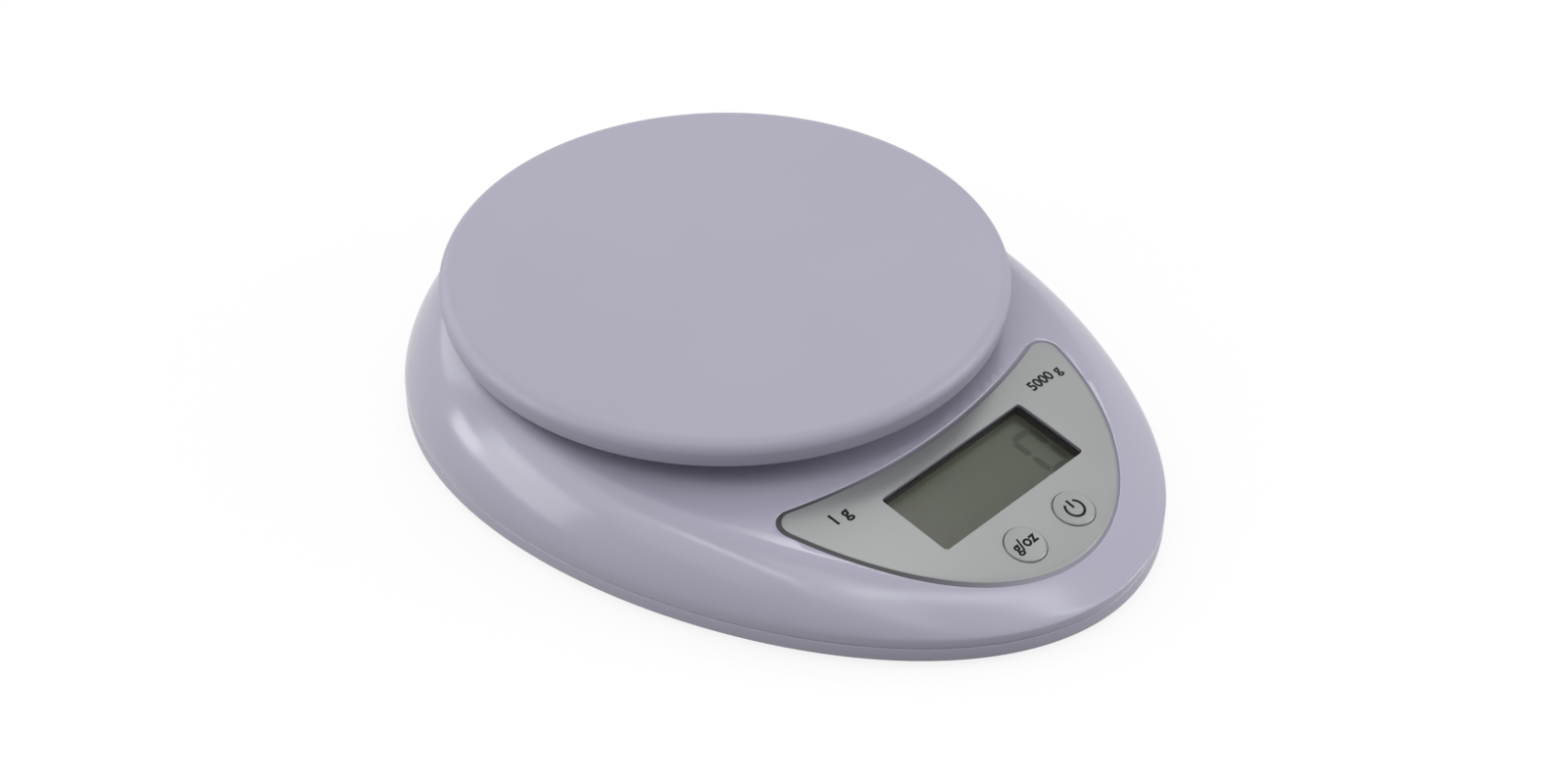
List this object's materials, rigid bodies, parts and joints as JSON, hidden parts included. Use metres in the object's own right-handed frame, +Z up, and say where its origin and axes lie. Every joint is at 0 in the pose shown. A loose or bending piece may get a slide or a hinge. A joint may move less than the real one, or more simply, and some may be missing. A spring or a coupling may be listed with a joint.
{
  "type": "digital kitchen scale",
  "caption": "Digital kitchen scale with an egg-shaped base, a round weighing platform, and a sloping front panel with a display and press keys.",
  "frame": {"origin": "on the table, in the middle of the base's outline", "axes": "+Z up, +Y to the back along the base's length, +X to the user's right, so the panel faces -Y"},
  "size_m": [0.1714, 0.2186, 0.0406],
  "materials": {
    "housing_plastic": "moulded, soft gloss",
    "platform_plastic": "moulded, fine satin",
    "cover_plastic": "moulded, soft gloss",
    "carrier_plastic": "moulded, plain",
    "foot_rubber": "matt",
    "screw_steel": "zinc plated",
    "label_film": "printed film with a fine metallic grey, satin",
    "window_plastic": "clear polished plastic",
    "black_plastic": "moulded, matt",
    "white_plastic": "moulded, plain",
    "display_glass": "liquid crystal glass with a grey-green reflector",
    "connector_rubber": "soft",
    "board_laminate": "glass-fibre laminate under green lacquer",
    "chip_resin": "poured epoxy",
    "crystal_can": "drawn metal can",
    "capacitor_sleeve": "shrunk sleeve",
    "key_plastic": "moulded, satin",
    "cell_aluminium": "machined",
    "gauge_rubber": "brushed-on white silicone",
    "battery_jacket": "printed jacket, plain",
    "contact_steel": "nickel-plated spring steel",
    "cable_sheath": "soft vinyl",
    "black_insulation": "soft vinyl",
    "red_insulation": "soft vinyl"
  },
  "bodies": {
    "base": {"bottom_cover": "cover_plastic", "top_housing": "housing_plastic", "rubber_feet": "foot_rubber", "housing_screws": "screw_steel", "panel_label": "label_film", "display_window": "window_plastic", "display_shroud": "black_plastic", "display_glass": "display_glass", "display_holder": "white_plastic", "display_connectors": "connector_rubber", "main_board": "board_laminate", "chip_cover": "chip_resin", "crystal": "crystal_can", "capacitors": "capacitor_sleeve", "board_screws": "screw_steel", "switch_bodies": "black_plastic", "load_cell": "cell_aluminium", "gauge_coating": "gauge_rubber", "cell_screws": "screw_steel", "battery_cell_front": "battery_jacket", "battery_cell_rear": "battery_jacket", "bridge_contact": "contact_steel", "minus_contact": "contact_steel", "plus_contact": "contact_steel", "cell_cable": "cable_sheath", "minus_wire": "black_insulation", "plus_wire": "red_insulation"},
    "unit_key": {"unit_key": "key_plastic"},
    "power_key": {"power_key": "key_plastic"},
    "unit_plunger": {"unit_plunger": "white_plastic"},
    "power_plunger": {"power_plunger": "white_plastic"},
    "platform": {"platform_carrier": "carrier_plastic", "weighing_platform": "platform_plastic", "carrier_screws": "screw_steel"},
    "battery_door": {"battery_door": "cover_plastic"}
  },
  "joints": [
    {"name": "platform_press", "type": "slide", "parent": "base", "child": "platform", "axis": [0, 0, 1], "range_m": [-0.0006, 0], "stiffness_N_per_m": 98000, "deforming": ["load_cell"]},
    {"name": "unit_key_press", "type": "slide", "parent": "base", "child": "unit_key", "axis": [0, -0.161, 0.9869], "range_m": [-0.0003, 0], "stiffness_N_per_m": 4000},
    {"name": "unit_plunger_press", "type": "slide", "parent": "base", "child": "unit_plunger", "axis": [0, -0.161, 0.9869], "range_m": [-0.0003, 0]},
    {"name": "power_key_press", "type": "slide", "parent": "base", "child": "power_key", "axis": [0, -0.161, 0.9869], "range_m": [-0.0003, 0], "stiffness_N_per_m": 4000},
    {"name": "power_plunger_press", "type": "slide", "parent": "base", "child": "power_plunger", "axis": [0, -0.161, 0.9869], "range_m": [-0.0003, 0]},
    {"name": "battery_door_hinge", "type": "hinge", "parent": "base", "child": "battery_door", "pos_m": [0, 0.05265, 0.002], "axis": [-1, 0, 0], "range_deg": [0, 60]}
  ],
  "couplings": [
    {"joint": "unit_plunger_press", "follows": "unit_key_press", "ratio": 1},
    {"joint": "power_plunger_press", "follows": "power_key_press", "ratio": 1}
  ]
}
